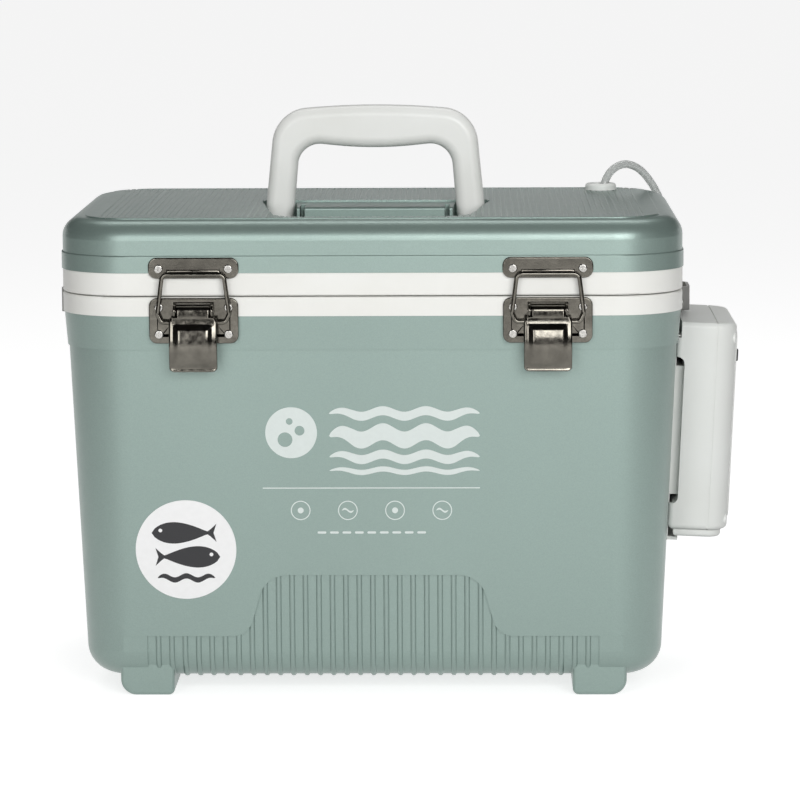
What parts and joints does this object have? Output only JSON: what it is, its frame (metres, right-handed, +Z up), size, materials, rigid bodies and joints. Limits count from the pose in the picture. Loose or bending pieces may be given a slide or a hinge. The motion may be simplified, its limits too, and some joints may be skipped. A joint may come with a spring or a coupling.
{
  "type": "aerated bait bucket",
  "caption": "Insulated live-bait box with hinged lid, folding carry handle, two draw latches and a side air pump whose hose runs into the tank.",
  "frame": {"origin": "middle of the outline at the underside of the feet, hoses left out", "axes": "+X along the width towards the air pump, +Y to the hinges at the back, +Z up"},
  "size_m": [0.3979, 0.2596, 0.3331],
  "materials": {
    "green_plastic": "pearl satin moulding",
    "white_plastic": "satin moulding",
    "liner_plastic": "smooth moulding",
    "foam": "cut foam",
    "nickel": "polished nickel",
    "steel": "satin",
    "rubber": "matte",
    "hose_vinyl": "clear vinyl",
    "black_plastic": "fine texture",
    "brass": "stamped",
    "battery_label": "printed sleeve",
    "stone": "bonded grit"
  },
  "bodies": {
    "tub": {"outer_shell": "green_plastic", "tub_foam": "foam", "tank_liner": "liner_plastic", "left_catch_plate": "nickel", "right_catch_plate": "nickel", "latch_lever_pins": "nickel", "catch_screws": "nickel", "left_strap_loop": "steel", "right_strap_loop": "steel", "strap_loop_screws": "steel", "left_hinge_tub_leaf": "steel", "right_hinge_tub_leaf": "steel", "hinge_pins": "steel", "hinge_tub_screws": "steel", "pump_bracket": "white_plastic", "pump_bracket_screws": "steel", "pump_back_case": "white_plastic", "pump_front_cover": "white_plastic", "pump_case_screws": "steel", "pump_motor": "steel", "pump_diaphragm": "rubber", "air_chamber": "black_plastic", "air_nipple": "black_plastic", "battery_cells": "battery_label", "battery_springs": "brass", "air_hose": "hose_vinyl", "tank_hose": "hose_vinyl", "air_stone": "stone"},
    "lid": {"lid_shell": "green_plastic", "lid_foam": "foam", "lid_liner": "liner_plastic", "lid_gasket": "rubber", "left_strike_plate": "nickel", "right_strike_plate": "nickel", "strike_screws": "nickel", "left_hinge_lid_leaf": "steel", "right_hinge_lid_leaf": "steel", "hinge_lid_screws": "steel", "hose_grommet": "hose_vinyl", "handle_pins": "steel"},
    "handle": {"carry_handle": "white_plastic"},
    "left_lever": {"left_latch_lever": "nickel"},
    "left_bail": {"left_latch_bail": "nickel"},
    "right_lever": {"right_latch_lever": "nickel"},
    "right_bail": {"right_latch_bail": "nickel"},
    "switch": {"speed_switch": "black_plastic"},
    "battery_cap": {"battery_cap": "white_plastic", "battery_cap_contact": "brass"},
    "crank": {"crank_disc": "black_plastic"},
    "rocker": {"pump_rocker": "black_plastic"}
  },
  "joints": [
    {"name": "lid_hinge", "type": "hinge", "parent": "tub", "child": "lid", "pos_m": [-0.01351, 0.12615, 0.2323], "axis": [-1, 0, 0], "range_deg": [0, 100], "deforming": ["air_hose", "tank_hose"]},
    {"name": "handle_fold", "type": "hinge", "parent": "lid", "child": "handle", "pos_m": [-0.01351, 0.00395, 0.2671], "axis": [1, 0, 0], "range_deg": [0, 90]},
    {"name": "left_lever_pull", "type": "hinge", "parent": "tub", "child": "left_lever", "pos_m": [-0.11321, -0.12115, 0.2247], "axis": [-1, 0, 0], "range_deg": [0, 125]},
    {"name": "left_bail_swing", "type": "hinge", "parent": "left_lever", "child": "left_bail", "pos_m": [-0.11321, -0.1194, 0.2183], "axis": [-1, 0, 0], "range_deg": [-150, 0]},
    {"name": "right_lever_pull", "type": "hinge", "parent": "tub", "child": "right_lever", "pos_m": [0.08619, -0.12115, 0.2247], "axis": [-1, 0, 0], "range_deg": [0, 125]},
    {"name": "right_bail_swing", "type": "hinge", "parent": "right_lever", "child": "right_bail", "pos_m": [0.08619, -0.1194, 0.2183], "axis": [-1, 0, 0], "range_deg": [-150, 0]},
    {"name": "speed_switch_slide", "type": "slide", "parent": "tub", "child": "switch", "axis": [0.0454, 0, 0.999], "range_m": [0, 0.008]},
    {"name": "battery_cap_slide", "type": "slide", "parent": "tub", "child": "battery_cap", "axis": [0.999, 0, -0.0454], "range_m": [0, 0.025]},
    {"name": "crank_spin", "type": "hinge", "parent": "tub", "child": "crank", "pos_m": [0.18339, -0.02605, 0.16989], "axis": [0.0454, 0, 0.999], "continuous": true},
    {"name": "rocker_swing", "type": "hinge", "parent": "tub", "child": "rocker", "pos_m": [0.18176, -0.00805, 0.17377], "axis": [0.0454, 0, 0.999], "range_deg": [-3, 3]}
  ],
  "couplings": [
    {"joint": "left_bail_swing", "follows": "left_lever_pull", "ratio": -1.192},
    {"joint": "right_bail_swing", "follows": "right_lever_pull", "ratio": -1.192}
  ]
}
